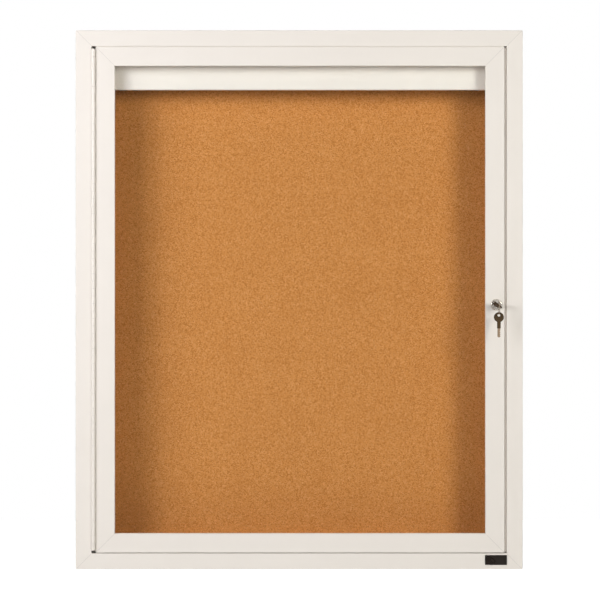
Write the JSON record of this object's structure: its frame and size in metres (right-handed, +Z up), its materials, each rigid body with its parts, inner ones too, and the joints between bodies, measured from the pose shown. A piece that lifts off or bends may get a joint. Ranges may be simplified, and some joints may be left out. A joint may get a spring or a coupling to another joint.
{
  "type": "lockable notice board",
  "caption": "Wall-hung glazed cabinet with a hinged door, cam lock, cork pin panel and a light behind a strip along the top.",
  "frame": {"origin": "middle of the four wall fixings, in the plane of the wall", "axes": "+X to the right as seen from the room, +Y into the wall, +Z up"},
  "size_m": [0.76, 0.147, 0.916],
  "materials": {
    "paint": "ivory powder coat, satin",
    "hinge_paint": "ivory powder coat, satin",
    "batten_paint": "white enamel",
    "cast_key": "as cast",
    "hardboard": "tempered hardboard",
    "cork": "fine-grained cork, matt",
    "foam": "closed-cell foam",
    "gasket": "matt",
    "grommet_rubber": "matt",
    "zinc": "zinc plated",
    "pin_steel": "satin",
    "rivet_metal": "satin",
    "lock_chrome": "bright",
    "key_metal": "nickel plated",
    "key_plastic": "dark brown, moulded",
    "lamp_glass": "coated white inside",
    "lamp_metal": "spun",
    "white_plastic": "moulded",
    "dark_plastic": "moulded",
    "black_steel": "black enamel",
    "glass": "clear"
  },
  "bodies": {
    "cabinet": {"cabinet_top_rail": "paint", "cabinet_bottom_rail": "paint", "cabinet_left_stile": "paint", "cabinet_right_stile": "paint", "cabinet_corner_keys": "cast_key", "backing_board": "hardboard", "cork_sheet": "cork", "door_seal": "foam", "light_valance": "paint", "valance_screws": "zinc", "lamp_batten": "batten_paint", "ballast": "black_steel", "batten_screws": "zinc", "lamp_tube": "lamp_glass", "lamp_caps": "lamp_metal", "lamp_holders": "white_plastic", "lamp_end_housings": "dark_plastic", "cable_grommet": "grommet_rubber", "hinge_cabinet_leaf": "hinge_paint", "hinge_pin": "pin_steel", "hinge_cabinet_rivets": "rivet_metal"},
    "door": {"door_top_rail": "paint", "door_bottom_rail": "paint", "door_left_stile": "paint", "door_right_stile": "paint", "door_corner_keys": "cast_key", "glass_pane": "glass", "glazing_gasket": "gasket", "hinge_door_leaf": "hinge_paint", "hinge_door_rivets": "rivet_metal", "lock_housing": "lock_chrome", "lock_nut": "zinc"},
    "plug": {"lock_plug": "lock_chrome", "lock_cam": "zinc", "cam_screw": "zinc"},
    "key": {"key_blade": "key_metal", "key_bow": "key_plastic"},
    "ring": {"key_ring": "key_metal"},
    "hanging_key": {"hanging_key_blade": "key_metal", "hanging_key_bow": "key_plastic"}
  },
  "joints": [
    {"name": "door_hinge", "type": "hinge", "parent": "cabinet", "child": "door", "pos_m": [-0.3495, -0.1015, 0], "axis": [0, 0, -1], "range_deg": [0, 175]},
    {"name": "lock_turn", "type": "hinge", "parent": "door", "child": "plug", "pos_m": [0.335, -0.1, -0.0085], "axis": [0, -1, 0], "range_deg": [0, 90]},
    {"name": "key_slide", "type": "slide", "parent": "plug", "child": "key", "axis": [0, -1, 0], "range_m": [0, 0.016]},
    {"name": "ring_swing", "type": "hinge", "parent": "key", "child": "ring", "pos_m": [0.335, -0.1256, -0.0085], "axis": [-1, 0, 0], "range_deg": [0, 54]},
    {"name": "key_swing", "type": "hinge", "parent": "ring", "child": "hanging_key", "pos_m": [0.335, -0.1354, -0.0245], "axis": [0, 1, 0], "range_deg": [-60, 60]}
  ]
}
